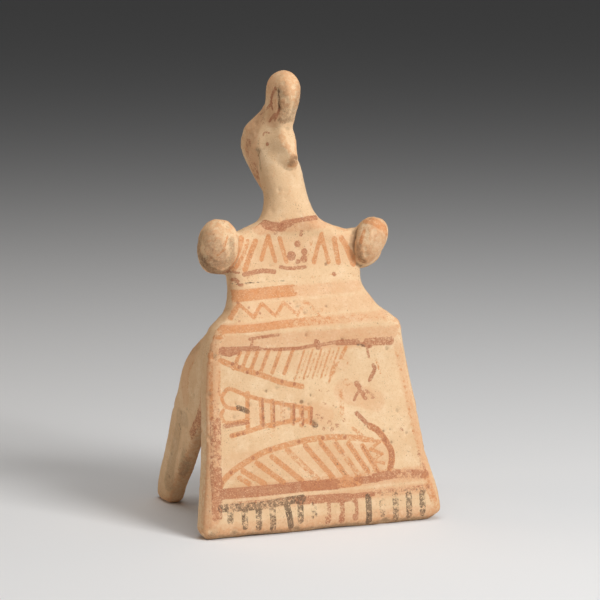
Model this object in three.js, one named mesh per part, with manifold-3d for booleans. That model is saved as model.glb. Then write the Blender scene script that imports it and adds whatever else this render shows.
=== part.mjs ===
// Terracotta seated woman: a flat plank figure with a pinched, beak-like face and a rolled headdress.
// The skirt is a board that leans back to the lap, and two fins behind it prop the figure up.
// Millimetres, +Z up, the front faces -Y, the figure's left hand is towards +X.
// The origin is on the ground, under the middle of the figure's box.
import * as THREE from 'three';
import { mergeVertices } from 'three/addons/utils/BufferGeometryUtils.js';
import Module from 'manifold-3d';

// Driving dimensions
const HEIGHT = 190;
const HEM_HALF_WIDTH = 55;
const BOARD_HALF_THICKNESS = 6;
const BOARD_EDGE_RADIUS = 4.6;
const HEM_FRONT_REACH = 37;
const KNEE_HEIGHT = 83.4;
const WAIST_HEIGHT = 100.4;
const SHOULDER_HEIGHT = 123.4;
const CHEST_EDGE_RADIUS = 5.4;
const NECK_RADIUS = 9.4;
const FIN_SIDE = 41.7;
const FIN_HALF_THICKNESS = 4.5;
const FIN_SQUARENESS = 3;
const FOOT_BACK_REACH = 46;
const FOOT_EDGE_RADIUS = 4;
const HEAD_YAW = THREE.MathUtils.degToRad(12);
const HEAD_AXIS = new THREE.Vector2(-3, 5);
const ROLL_DOME_RADIUS = 9;

// The board from hem to crown. At each height: half the width, half the thickness, the radius of its
// rounded edge, how far its middle stands back (+Y) and how far it stands to the side (+X).
const BOARD = table(['z', 'width', 'thick', 'edge', 'back', 'side'], [
  [0, HEM_HALF_WIDTH - 4.6, BOARD_HALF_THICKNESS, BOARD_EDGE_RADIUS, -HEM_FRONT_REACH, -2],
  [4, HEM_HALF_WIDTH - 0.5, BOARD_HALF_THICKNESS, BOARD_EDGE_RADIUS, -36.8, -0.7],
  [12, HEM_HALF_WIDTH - 1.3, BOARD_HALF_THICKNESS, BOARD_EDGE_RADIUS, -35.4, -0.5],
  [30, 50.2, BOARD_HALF_THICKNESS, BOARD_EDGE_RADIUS, -30.8, -0.9],
  [60, 46.8, BOARD_HALF_THICKNESS, BOARD_EDGE_RADIUS, -21.2, -0.8],
  [77, 44.5, BOARD_HALF_THICKNESS + 0.6, BOARD_EDGE_RADIUS, -18.4, -0.7],
  [KNEE_HEIGHT, 42.6, BOARD_HALF_THICKNESS + 1, BOARD_EDGE_RADIUS, -17.2, 0],
  [KNEE_HEIGHT + 7.6, 33.4, BOARD_HALF_THICKNESS + 0.6, BOARD_EDGE_RADIUS, -12.8, 0],
  [WAIST_HEIGHT, 30, BOARD_HALF_THICKNESS, CHEST_EDGE_RADIUS, -7.6, -0.6],
  [111, 30.2, BOARD_HALF_THICKNESS, CHEST_EDGE_RADIUS, -4.2, 0],
  [SHOULDER_HEIGHT - 3.5, 30, BOARD_HALF_THICKNESS, CHEST_EDGE_RADIUS, -3, 0],
  [SHOULDER_HEIGHT, 20.5, 7, 6.4, -2.8, -1.5],
  [SHOULDER_HEIGHT + 3.5, 13.3, 8.2, 8, -2.4, -1.3],
  [133.4, 10.2, 9, 9, -0.5, -1.4],
  [138.4, NECK_RADIUS, NECK_RADIUS, NECK_RADIUS, 1.2, -1.8],
  [147, NECK_RADIUS, NECK_RADIUS, NECK_RADIUS, 4, -2.7],
  [151, NECK_RADIUS - 0.6, NECK_RADIUS - 0.6, NECK_RADIUS - 0.6, 4.7, -3],
  [154, NECK_RADIUS - 2, NECK_RADIUS - 2, NECK_RADIUS - 2, 5, -3.2],
  [158, NECK_RADIUS - 4, NECK_RADIUS - 4, NECK_RADIUS - 4, 5.4, -3.4],
  [162, NECK_RADIUS - 6, NECK_RADIUS - 6, NECK_RADIUS - 6, 5.6, -3.4],
]);

// One prop fin. At each height: its front and back edge along Y and how far out it stands.
const FIN = table(['z', 'front', 'back', 'side'], [
  [0, 28.5, FOOT_BACK_REACH, FIN_SIDE],
  [9, 22.6, 43.6, FIN_SIDE],
  [22, 9.6, 37.2, FIN_SIDE],
  [38, -4.6, 29, FIN_SIDE],
  [54, -18, 19.8, FIN_SIDE - 0.2],
  [64, -20, 13, FIN_SIDE - 0.4],
  [73, -20, 2.5, FIN_SIDE - 1.2],
  [82, -18, -11, FIN_SIDE - 3.6],
]);

// The arms differ a little. For each: which side it is on, and where its lobe stands, how wide and
// tall half of it is, and how far it leans outwards.
const ARMS = [
  { sign: -1, side: 35.7, middle: 117.5, wide: 8.6, tall: 11.4, lean: THREE.MathUtils.degToRad(-6) },
  { sign: 1, side: 32.9, middle: 116.9, wide: 6.9, tall: 10.8, lean: THREE.MathUtils.degToRad(30) },
];
const LOBE_BACK = -8.6;
const LOBE_HALF_DEPTH = 8.4;
const UPPER_ARM = { side: 29.5, back: -3.6, drop: 3.6, halfLength: 12, halfDepth: 5.7, halfHeight: 8.8 };

// Head parts are measured from the head's axis: forward along the face, and across it.
const HAIR = table(['z', 'forward', 'deep', 'wide'], [
  [134, -4.6, 1.6, 2.4],
  [141.6, -8, 4.4, 5],
  [148.9, -9.4, 8, 8],
  [156.9, -9.3, 12.6, 10.6],
  [164, -8.4, 11.6, 9.8],
  [169, -5, 8.9, 7.4],
  [173.4, -1, 6.9, 5.2],
  [180, 1.8, 6, 4.4],
]);
const ROLL = table(['z', 'forward', 'deep', 'wide'], [
  [161, 0, 2, 2],
  [165, 1.4, 5.2, 4.6],
  [169.4, 1.2, 7.4, 5.5],
  [179, 4, 8.6, 6],
  [HEIGHT, 4.2, 8.6, 6],
]);

// The pinched face. At each height: how far forward its ridge stands, half the ridge's width, and
// half the width and the forward place of its root in the head.
const BEAK = table(['z', 'tip', 'ridge', 'root', 'rootForward'], [
  [148.2, 8.6, 1.8, 3.4, 6],
  [149, 10.6, 1.6, 5, 5],
  [150.4, 13.2, 1.3, 7, 3],
  [152.2, 14.5, 1, 8.3, 1],
  [155.8, 11.7, 1.9, 8.8, -3],
  [160, 9.6, 3.4, 9.1, -4.5],
  [164.7, 7.4, 3.2, 7.9, -3.5],
  [170, 5, 2.2, 6, -3],
]);
const RIDGE_ROUNDING = 1.2;

// Rows of numbers as stations with named values.
function table(names, rows) {
  return rows.map((row) => Object.fromEntries(names.map((name, i) => [name, row[i]])));
}

// A smooth run of one value through the stations, with no overshoot between them.
function smooth(stations, name) {
  const last = stations.length - 1;
  const slopes = [];
  for (let i = 0; i < last; i++) {
    const rise = stations[i + 1][name] - stations[i][name];
    slopes.push(rise / (stations[i + 1].z - stations[i].z));
  }
  const tangents = stations.map((_, i) => {
    if (i === 0) return slopes[0];
    if (i === last) return slopes[last - 1];
    if (slopes[i - 1] * slopes[i] <= 0) return 0;
    return (2 * slopes[i - 1] * slopes[i]) / (slopes[i - 1] + slopes[i]);
  });
  return (z) => {
    let i = 0;
    while (i < last - 1 && z > stations[i + 1].z) i++;
    const span = stations[i + 1].z - stations[i].z;
    const t = THREE.MathUtils.clamp((z - stations[i].z) / span, 0, 1);
    const start = stations[i][name];
    const end = stations[i + 1][name];
    const bend = t * (1 - t) * ((1 - t) * tangents[i] - t * tangents[i + 1]) * span;
    return start + (end - start) * t * t * (3 - 2 * t) + bend;
  };
}

// A closed body through rings of equally many points, from the lowest ring to the highest,
// each ring running anticlockwise seen from above.
function closedLoft(rings) {
  const sides = rings[0].length;
  const points = rings.flat();
  const middleOf = (ring) => {
    const sum = ring.reduce((total, point) => total.add(point), new THREE.Vector3());
    return sum.divideScalar(sides);
  };
  const bottom = points.push(middleOf(rings[0])) - 1;
  const top = points.push(middleOf(rings.at(-1))) - 1;
  const crown = (rings.length - 1) * sides;
  const index = [];
  for (let side = 0; side < sides; side++) {
    const next = (side + 1) % sides;
    index.push(bottom, next, side);
    for (let low = 0; low < crown; low += sides) {
      const high = low + sides;
      index.push(low + side, low + next, high + next);
      index.push(low + side, high + next, high + side);
    }
    index.push(top, crown + side, crown + next);
  }
  const geometry = new THREE.BufferGeometry().setFromPoints(points);
  geometry.setIndex(index);
  return geometry;
}

// Evenly spaced heights from low to high. With soft above zero they crowd towards both ends.
function heights(low, high, count, soft = 0) {
  return Array.from({ length: count + 1 }, (_, i) => {
    const even = i / count;
    const eased = (1 - Math.cos(Math.PI * even)) / 2;
    return THREE.MathUtils.lerp(low, high, THREE.MathUtils.lerp(even, eased, soft));
  });
}

// A ring of a rounded box seen from above: half sizes along X and Y, and a squareness of 2 for an
// ellipse and more for fuller corners.
function roundedRing(centre, halfX, halfY, z, squareness, sides) {
  const ring = [];
  for (let i = 0; i < sides; i++) {
    const turn = (2 * Math.PI * i) / sides;
    const cos = Math.cos(turn);
    const sin = Math.sin(turn);
    const reach = (Math.abs(cos) ** squareness + Math.abs(sin) ** squareness) ** (-1 / squareness);
    ring.push(new THREE.Vector3(centre.x + halfX * reach * cos, centre.y + halfY * reach * sin, z));
  }
  return ring;
}

// How far a rounded end pulls a section in, at a distance from that end.
function tuck(distance, radius) {
  const lift = THREE.MathUtils.clamp(radius - distance, 0, radius);
  return radius - Math.sqrt(radius ** 2 - lift ** 2);
}

// The board's front outline, as points in (side, height), to measure distances to its edge.
function boardOutline(width, side) {
  const step = 0.5;
  const outline = [];
  for (let z = 0; z <= BOARD.at(-1).z; z += step) {
    outline.push([side(z) + width(z), z], [side(z) - width(z), z]);
  }
  for (let x = -width(0); x <= width(0); x += step) {
    outline.push([side(0) + x, 0]);
  }
  return outline;
}

// The leaning board with rounded edges: hem, skirt, lap, chest, shoulders and neck in one sweep.
function boardGeometry() {
  const names = ['width', 'thick', 'edge', 'back', 'side'];
  const [width, thick, edge, back, side] = names.map((name) => smooth(BOARD, name));
  const outline = boardOutline(width, side);
  const halfDepth = (x, z) => {
    const near = outline.reduce((best, [ox, oz]) => Math.min(best, Math.hypot(ox - x, oz - z)), Infinity);
    const into = Math.max(edge(z) - near, 0);
    return thick(z) - edge(z) + Math.sqrt(edge(z) ** 2 - into ** 2);
  };
  const halfSides = 17;
  const rows = [
    ...heights(0, 5, 4),
    ...heights(8, KNEE_HEIGHT - 7, 16),
    ...heights(KNEE_HEIGHT - 4, SHOULDER_HEIGHT - 4, 18),
    ...heights(SHOULDER_HEIGHT - 3, 132, 12),
    ...heights(134, BOARD.at(-1).z, 9),
  ];
  const rings = rows.map((z) => {
    const ring = [];
    for (let i = 0; i < 2 * halfSides; i++) {
      const turn = (Math.PI * i) / halfSides;
      const x = side(z) + width(z) * Math.cos(turn);
      const reach = i % halfSides === 0 ? 0 : Math.sign(Math.sin(turn)) * halfDepth(x, z);
      ring.push(new THREE.Vector3(x, back(z) + reach, z));
    }
    return ring;
  });
  return closedLoft(rings);
}

// One prop fin behind the skirt, on the side given by its sign, with a rounded foot.
function finGeometry(sign) {
  const [front, back, side] = ['front', 'back', 'side'].map((name) => smooth(FIN, name));
  const rows = [...heights(0, FOOT_EDGE_RADIUS, 4), ...heights(FOOT_EDGE_RADIUS + 4, FIN.at(-1).z, 15)];
  const rings = rows.map((z) => {
    const pull = tuck(z, FOOT_EDGE_RADIUS);
    const toe = front(z) + pull / 2;
    const heel = back(z) - pull;
    const centre = new THREE.Vector2(sign * side(z), (toe + heel) / 2);
    return roundedRing(centre, FIN_HALF_THICKNESS - pull / 2, (heel - toe) / 2, z, FIN_SQUARENESS, 20);
  });
  return closedLoft(rings);
}

// A rounded lump of clay about the origin with the given half sizes.
function pebble(halfX, halfY, halfZ, squareness, rows, sides) {
  const centre = new THREE.Vector2(0, 0);
  const pole = 0.98;
  const rings = heights(-pole, pole, rows, 0.9).map((level) => {
    const size = (1 - Math.abs(level) ** squareness) ** (1 / squareness);
    return roundedRing(centre, halfX * size, halfY * size, (halfZ * level) / pole, squareness, sides);
  });
  return closedLoft(rings);
}

// The lobe at the end of one arm: a stub that points forward.
function lobeGeometry({ sign, side, middle, wide, tall, lean }) {
  const lobe = pebble(wide, LOBE_HALF_DEPTH, tall, 2.3, 12, 18);
  lobe.rotateY(sign * lean);
  return lobe.translate(sign * side, LOBE_BACK, middle);
}

// The upper arm that carries the lobe out of the shoulder.
function upperArmGeometry({ sign, middle }) {
  const { side, back, drop, halfLength, halfDepth, halfHeight } = UPPER_ARM;
  const arm = pebble(halfLength, halfDepth, halfHeight, 2.2, 10, 16);
  return arm.translate(sign * side, back, middle - drop);
}

// Turns points measured from the head's axis (x across, y back) to where the head looks.
function turnHead(geometry) {
  geometry.rotateZ(HEAD_YAW);
  return geometry.translate(HEAD_AXIS.x, HEAD_AXIS.y, 0);
}

// A form of the head from stations of depth and width, domed at the top when a radius is given.
function headGeometry(stations, squareness, domeRadius = 0) {
  const [forward, deep, wide] = ['forward', 'deep', 'wide'].map((name) => smooth(stations, name));
  const top = stations.at(-1).z;
  const smallest = 0.05;
  const rings = heights(stations[0].z, top, 16, 0.8).map((z) => {
    const centre = new THREE.Vector2(0, -forward(z));
    const dome = domeRadius > 0 ? tuck(top - z, domeRadius) / domeRadius : 0;
    const size = Math.max(1 - dome, smallest);
    return roundedRing(centre, wide(z) * size, deep(z) * size, z, squareness, 20);
  });
  return turnHead(closedLoft(rings));
}

// The pinched face: a wedge whose ridge runs from the brow down to the blunt tip.
function beakGeometry() {
  const names = ['tip', 'ridge', 'root', 'rootForward'];
  const [tip, ridge, root, rootForward] = names.map((name) => smooth(BEAK, name));
  const rings = heights(BEAK[0].z, BEAK.at(-1).z, 13).map((z) => {
    const corners = [
      [root(z), rootForward(z)],
      [ridge(z) + RIDGE_ROUNDING / 2, tip(z) - RIDGE_ROUNDING],
      [ridge(z) - RIDGE_ROUNDING / 2, tip(z)],
    ];
    const left = corners.map(([x, forward]) => new THREE.Vector3(x, -forward, z));
    const right = corners.map(([x, forward]) => new THREE.Vector3(-x, -forward, z));
    return [...right, ...left.reverse()];
  });
  return turnHead(closedLoft(rings));
}

// Joins closed geometries into one body of clay.
const wasm = await Module();
wasm.setup();

function toManifold(geometry) {
  const merged = mergeVertices(geometry, 1e-4);
  const vertProperties = new Float32Array(merged.attributes.position.array);
  const triVerts = new Uint32Array(merged.index.array);
  return new wasm.Manifold(new wasm.Mesh({ numProp: 3, vertProperties, triVerts }));
}

function toGeometry(manifold) {
  const mesh = manifold.getMesh();
  const geometry = new THREE.BufferGeometry();
  geometry.setAttribute('position', new THREE.BufferAttribute(new Float32Array(mesh.vertProperties), 3));
  geometry.setIndex(new THREE.BufferAttribute(new Uint32Array(mesh.triVerts), 1));
  geometry.computeVertexNormals();
  return geometry;
}

// The box around the figure is centred over the origin.
function centredOnGround(geometry) {
  geometry.computeBoundingBox();
  const { min, max } = geometry.boundingBox;
  return geometry.translate(-(min.x + max.x) / 2, -(min.y + max.y) / 2, -min.z);
}

const forms = [
  boardGeometry(),
  finGeometry(-1),
  finGeometry(1),
  ...ARMS.map(upperArmGeometry),
  ...ARMS.map(lobeGeometry),
  headGeometry(HAIR, 2.2),
  headGeometry(ROLL, 2.6, ROLL_DOME_RADIUS),
  beakGeometry(),
];
const body = forms.map(toManifold).reduce((whole, form) => whole.add(form));

const terracotta = new THREE.MeshStandardMaterial({ color: 0xe0bf94, roughness: 0.85, metalness: 0 });
const statuette = new THREE.Mesh(centredOnGround(toGeometry(body)), terracotta);
statuette.name = 'statuette';

const group = new THREE.Group();
group.add(statuette);

export default group;
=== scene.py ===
"""A painted terracotta statuette: a seated woman in a flared skirt, with two fins behind that prop her up.

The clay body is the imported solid's surface made into one fine skin, softened as hand-worked clay, with its
dents, pits, cracks and chips. The faded paint is laid out as brush strokes in millimetres: each colour
keeps, at every point of the skin, how far the nearest stroke's edge is and how well that stroke is kept.
The clay's material wears the edges away with noise. x runs to the woman's left, y backwards, z up.
"""

import math

import bpy
import numpy as np
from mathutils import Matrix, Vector, noise


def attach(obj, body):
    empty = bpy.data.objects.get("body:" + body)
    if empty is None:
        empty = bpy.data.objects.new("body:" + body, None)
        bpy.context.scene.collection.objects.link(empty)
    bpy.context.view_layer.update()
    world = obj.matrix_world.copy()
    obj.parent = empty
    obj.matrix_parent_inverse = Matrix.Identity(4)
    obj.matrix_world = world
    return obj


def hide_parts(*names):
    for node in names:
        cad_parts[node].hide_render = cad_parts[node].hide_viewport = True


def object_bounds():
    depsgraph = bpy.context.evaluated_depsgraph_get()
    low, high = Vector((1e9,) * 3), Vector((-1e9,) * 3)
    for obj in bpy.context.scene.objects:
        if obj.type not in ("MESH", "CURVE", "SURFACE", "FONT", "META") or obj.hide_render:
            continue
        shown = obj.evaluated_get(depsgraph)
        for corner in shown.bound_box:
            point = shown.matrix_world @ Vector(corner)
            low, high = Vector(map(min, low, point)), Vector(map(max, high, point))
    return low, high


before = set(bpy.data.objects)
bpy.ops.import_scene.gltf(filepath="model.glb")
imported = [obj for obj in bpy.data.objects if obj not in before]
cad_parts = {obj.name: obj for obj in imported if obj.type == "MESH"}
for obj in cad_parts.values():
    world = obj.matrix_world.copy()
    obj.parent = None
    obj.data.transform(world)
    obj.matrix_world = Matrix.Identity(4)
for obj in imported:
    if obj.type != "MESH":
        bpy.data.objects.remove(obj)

MM = 0.001
CAD_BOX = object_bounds()
HEIGHT = (CAD_BOX[1].z - CAD_BOX[0].z) / MM

# Skin, in millimetres
SKIN_CELL = 0.745
SOFTENING_ROUNDS = 14
FAR = 6.0

# Landmarks, in millimetres
HEAD_MIDDLE_X = -0.6
BEAK_MIDDLE = (-1.5, -7.0, 155.0)
BEAK_REACH = 15.0

# Camera, fitted to the photograph's outline; millimetres and degrees
VIEW_AZIMUTH = -22.0
VIEW_ELEVATION = 8.53
VIEW_DISTANCE = 1112.3
VIEW_TARGET = (-5.7, -27.0, 95.0)
PIXELS_PER_MM = 2.39
IMAGE_SIZE = 600
TARGET_PIXEL = (298.0, 301.5)
SENSOR = 36.0


# Vectors and noise

def lattice_noise(points, wavelength, seed, octaves=1):
    """Smooth noise, about -0.5 to 0.5, at each point; wavelength in the points' own unit."""
    offset = np.array([17.3, 5.9, 31.1]) * seed
    places = points / wavelength + offset
    if octaves == 1:
        return np.array([noise.noise(Vector(p)) for p in places])
    return np.array([noise.fractal(Vector(p), 0.9, 2.0, octaves) for p in places]) * 0.6


def smooth_step(value):
    """0 below 0, 1 above 1 and an even slope between them."""
    t = np.clip(value, 0.0, 1.0)
    return t * t * (3.0 - 2.0 * t)


def curve(points, steps=5):
    """A smooth line through given points."""
    p = np.array(points, dtype=float)
    p = np.vstack([2 * p[0] - p[1], p, 2 * p[-1] - p[-2]])
    line = []
    for i in range(1, len(p) - 2):
        for t in np.linspace(0, 1, steps, endpoint=False):
            before, start, end, after = p[i - 1: i + 3]
            line.append(0.5 * (2 * start + (end - before) * t
                               + (2 * before - 5 * start + 4 * end - after) * t ** 2
                               + (3 * start - before - 3 * end + after) * t ** 3))
    line.append(p[-2])
    return np.array(line)


def distance_to_segment(points, start, end):
    """Each point's distance to a straight piece, and how far along it the nearest place is, 0 to 1."""
    run = end - start
    along = np.clip((points - start) @ run / max(run @ run, 1e-9), 0.0, 1.0)
    return np.linalg.norm(points - start - along[:, None] * run, axis=1), along


# Clay skin

class Skin:
    """The body's points and normals in millimetres, and which points are neighbours."""

    def __init__(self, piece):
        self.mesh = piece.data
        self.count = len(self.mesh.vertices)
        self.points = self.read(self.mesh.vertices, "co") / MM
        ends = np.empty(len(self.mesh.edges) * 2, dtype=np.int32)
        self.mesh.edges.foreach_get("vertices", ends)
        self.first, self.second = ends.reshape(-1, 2).T
        self.degree = np.bincount(ends, minlength=self.count)
        self.update()

    def read(self, items, name):
        values = np.empty(len(items) * 3, dtype=np.float32)
        items.foreach_get(name, values)
        return values.reshape(-1, 3).astype(float)

    def update(self):
        """Writes the points back to the mesh and reads the new normals."""
        self.mesh.vertices.foreach_set("co", (self.points * MM).astype(np.float32).ravel())
        self.mesh.update()
        self.normals = self.read(self.mesh.vertex_normals, "vector")

    def spread(self, values):
        """The mean of each point's neighbours."""
        columns = values.reshape(self.count, -1)
        total = np.stack([
            np.bincount(self.first, column[self.second], self.count)
            + np.bincount(self.second, column[self.first], self.count)
            for column in columns.T
        ], axis=1)
        return (total / self.degree[:, None]).reshape(values.shape)

    def even_out(self, rounds, weight, shrink=0.5, grow=-0.53):
        """Evens out small steps but not the broad shape; weight is how much at each point, 0 to 1."""
        share = weight[:, None]
        for _ in range(rounds):
            self.points = self.points + shrink * share * (self.spread(self.points) - self.points)
            self.points = self.points + grow * share * (self.spread(self.points) - self.points)

    def rub_down(self, place, reach, rounds):
        """Rubs a seam down with a thumb: the skin settles round a place, less towards the reach's edge."""
        share = smooth_step(1.0 - np.linalg.norm(self.points - np.array(place), axis=1) / reach)[:, None]
        for _ in range(rounds):
            self.points = self.points + 0.6 * share * (self.spread(self.points) - self.points)

    def keep(self, name, values):
        """Stores one number for each point, for the material."""
        layer = self.mesh.attributes.new(name, "FLOAT", "POINT")
        layer.data.foreach_set("value", values.astype(np.float32))


def clay_body():
    """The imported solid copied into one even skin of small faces."""
    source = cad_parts["statuette"]
    rough = bpy.data.objects.new("rough_body", source.data.copy())
    bpy.context.scene.collection.objects.link(rough)
    cells = rough.modifiers.new("cells", "REMESH")
    cells.mode = "VOXEL"
    cells.voxel_size = SKIN_CELL * MM
    cells.adaptivity = 0.0
    made = rough.evaluated_get(bpy.context.evaluated_depsgraph_get())
    body = bpy.data.objects.new("statuette_body", bpy.data.meshes.new_from_object(made))
    bpy.context.scene.collection.objects.link(body)
    bpy.data.objects.remove(rough)
    body.data.name = "statuette_body"
    body.data.materials.clear()
    for face in body.data.polygons:
        face.use_smooth = True
    return body


# Relief: hollows are lists of (place, radius or half width, depth), all in millimetres

DENTS = []
GROOVES = []


def pit(place, radius, depth):
    DENTS.append((np.array(place, dtype=float), radius, depth))


def groove(points, half_width, depth):
    for start, end in zip(points, points[1:]):
        GROOVES.append((np.array(start, dtype=float), np.array(end, dtype=float), half_width, depth))


def both_sides(points):
    """The points as given, and their mirror image on the other side of the head."""
    return points, [(2 * HEAD_MIDDLE_X - x, y, z) for x, y, z in points]


def known_hollows():
    """Chips, pits and cracks that show in the photograph."""
    for x, y, z, radius, depth in (
        (-5.5, -30.3, 52.8, 0.9, 0.8), (-1.7, -33.3, 44.1, 1.4, 0.9), (-29.1, -30.2, 53.2, 0.9, 0.6),
        (-43.4, -25.5, 73.4, 0.9, 0.6), (-46.1, -27.2, 58.1, 1.0, 0.6), (-20.7, -28.8, 58.3, 0.7, 0.4),
        (-24.2, -33.1, 44.4, 0.7, 0.4), (-1.1, -29.6, 55.3, 0.7, 0.4), (-48.1, -32.9, 40.7, 1.0, 0.5),
        (-50.6, -32.4, 30.2, 1.0, 0.5), (-1.5, -25.9, 80.4, 0.9, 0.5), (14.8, -26.2, 77.3, 0.9, 0.5),
        (9.9, -20.4, 91.3, 0.8, 0.4), (-4.0, -18.6, 93.9, 0.8, 0.4), (13.3, -12.1, 108.0, 0.8, 0.5),
        (30.0, -35.2, 38.6, 0.8, 0.5), (33.2, -36.8, 33.9, 0.8, 0.5), (33.3, -35.0, 39.2, 0.7, 0.4),
        (29.7, -17.0, 111.6, 0.9, 0.5), (-45.8, -6.6, 54.5, 0.9, 0.5), (-45.7, 1.9, 46.9, 0.9, 0.4),
        (-45.7, 24.7, 12.8, 1.4, 0.5), (-45.8, 21.4, 23.6, 1.2, 0.4),
    ):
        pit((x, y, z), radius, depth)
    roll = [(-7.7, -0.8, 177.6), (-7.0, -3.7, 182.4), (-6.2, -5.4, 181.6), (-5.7, -5.1, 174.4),
            (-6.0, -3.5, 171.4)]
    hair_crack = [(-10.9, 3.4, 156.1), (-11.4, 4.6, 153.5), (-11.6, 1.4, 148.8)]
    for line in both_sides(roll):
        groove(line, 0.55, 0.5)
    for line in both_sides(hair_crack):
        groove(line, 0.4, 0.45)
    groove([(29.1, -8.2, 122.7), (26.6, -11.3, 118.4), (25.5, -12.2, 115.1), (25.8, -13.2, 111.4)], 0.5, 0.5)
    groove([(-45.8, 12.5, 38.4), (-45.8, 10.6, 36.8), (-45.8, 11.8, 33.2)], 0.5, 0.6)
    for y, z in ((-15.6, 124.6), (-16.9, 122.2), (-17.4, 120.0)):
        groove([(-40.6, y + 1.4, z), (-37.4, y, z + 1.2)], 0.35, 0.25)
    hem_chips = ((-50.5, 3.6, 2.2), (-40.9, 2.6, 1.6), (-13.2, 1.8, 1.8), (27.3, 1.0, 2.4), (-9.2, 4.1, 0.8))
    for x, z, radius in hem_chips:
        pit((x, -44.2, z), radius, 0.6)


def scattered_hollows(skin):
    """Small pits all over, where grit and air came out of the clay."""
    draw = np.random.default_rng(11)
    low, high = skin.points.min(axis=0), skin.points.max(axis=0)
    for place in draw.uniform(low, high, (420, 3)):
        nearest = skin.points[np.argmin(((skin.points - place) ** 2).sum(axis=1))]
        pit(nearest, draw.uniform(0.7, 1.25), draw.uniform(0.12, 0.4))


def relief(skin):
    """How far each point of the skin moves out along its normal."""
    rise = lattice_noise(skin.points, 21.0, 1) * 0.5
    rise += lattice_noise(skin.points * np.array([1.0, 1.0, 0.45]), 5.5, 2) * 0.16
    rise += lattice_noise(skin.points, 1.8, 3, octaves=2) * 0.12
    for place, radius, depth in DENTS:
        near = 1.0 - np.linalg.norm(skin.points - place, axis=1) / (radius * 1.6)
        rise -= depth * smooth_step(near * 1.3)
    for start, end, half_width, depth in GROOVES:
        away, _ = distance_to_segment(skin.points, start, end)
        rise -= depth * smooth_step((1.0 - away / (half_width * 1.8)) * 1.2)
    return rise


# Paint: strokes of three colours, a thin wash, and soil with painted shade. Two numbers a point lie on the
# front as seen straight on, x and z; three numbers a point lie in space.

STROKES = {"wash": [], "orange": [], "red": [], "dark": [], "soil_and_shade": []}


def stroke(pigment, points, width, kept=0.8, kept_at_end=None):
    """A brush stroke. kept is how much of it is left, 0 to 1, and may change towards its end."""
    last = kept if kept_at_end is None else kept_at_end
    shares = np.linspace(kept, last, len(points))
    for i in range(len(points) - 1):
        start = np.array(points[i], dtype=float)
        end = np.array(points[i + 1], dtype=float)
        STROKES[pigment].append((start, end, width / 2, shares[i], shares[i + 1]))


def blot(pigment, place, width, kept=0.8):
    stroke(pigment, [place, place], width, kept)


def head_stroke(pigment, points, width, kept=0.8, kept_at_end=None):
    """The same curved stroke on both sides of the head."""
    for line in both_sides(points):
        stroke(pigment, curve(line), width, kept, kept_at_end)


def necklace():
    """Red line round the foot of the neck, with runs below it."""
    stroke("red", curve([(-17.8, 124.7), (-15.0, 126.3), (-12.5, 126.6)]), 1.2, 0.8)
    stroke("red", curve([(-12.6, 125.6), (-8.5, 124.6), (-3.5, 124.8)]), 4.0, 0.9, 0.7)
    stroke("red", curve([(-6.0, 126.6), (1.1, 127.3), (5.5, 127.8), (9.8, 127.6)]), 2.0, 0.85)
    stroke("red", [(-4.0, 124.0), (3.0, 123.6), (6.0, 125.0)], 3.2, 0.45)
    stroke("red", [(2.6, 124.5), (2.4, 120.7)], 1.5, 0.7)
    stroke("red", [(-9.6, 122.8), (-9.0, 121.2)], 1.6, 0.6)
    runs = ((0.7, 117.0, 3.0), (3.6, 113.6, 3.0), (3.4, 110.6, 3.2), (-2.4, 112.1, 4.2), (0.4, 109.6, 2.2))
    for x, z, width in runs:
        blot("red", (x, z), width, 0.8)


def chest_strokes():
    """Slanting strokes that hang below the neck line."""
    stroke("orange", curve([(-24.0, 120.5), (-27.0, 113.5), (-31.0, 109.0)]), 2.2, 0.8)
    stroke("orange", curve([(-21.6, 119.4), (-24.0, 113.6), (-28.2, 107.4)]), 1.6, 0.7)
    stroke("orange", curve([(-18.2, 119.0), (-20.4, 114.7), (-23.8, 107.4)]), 2.4, 0.85)
    stroke("red", [(-20.6, 114.0), (-21.8, 110.4)], 1.1, 0.6)
    stroke("orange", [(-12.4, 121.0), (-16.0, 111.3)], 2.0, 0.9)
    stroke("orange", [(-12.4, 121.0), (-9.8, 110.4)], 1.9, 0.9)
    stroke("orange", [(-7.4, 120.0), (-4.8, 110.0)], 2.0, 0.85)
    stroke("orange", [(7.1, 118.4), (5.4, 112.0)], 1.5, 0.6)
    stroke("orange", [(11.8, 120.7), (7.8, 109.0)], 2.0, 0.85)
    stroke("orange", [(11.8, 120.7), (14.6, 108.8)], 1.9, 0.85)
    stroke("orange", [(17.7, 118.4), (19.1, 108.5)], 2.4, 0.8)
    stroke("orange", curve([(21.1, 118.5), (23.1, 115.0), (25.8, 107.4)]), 2.6, 0.85)


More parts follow.
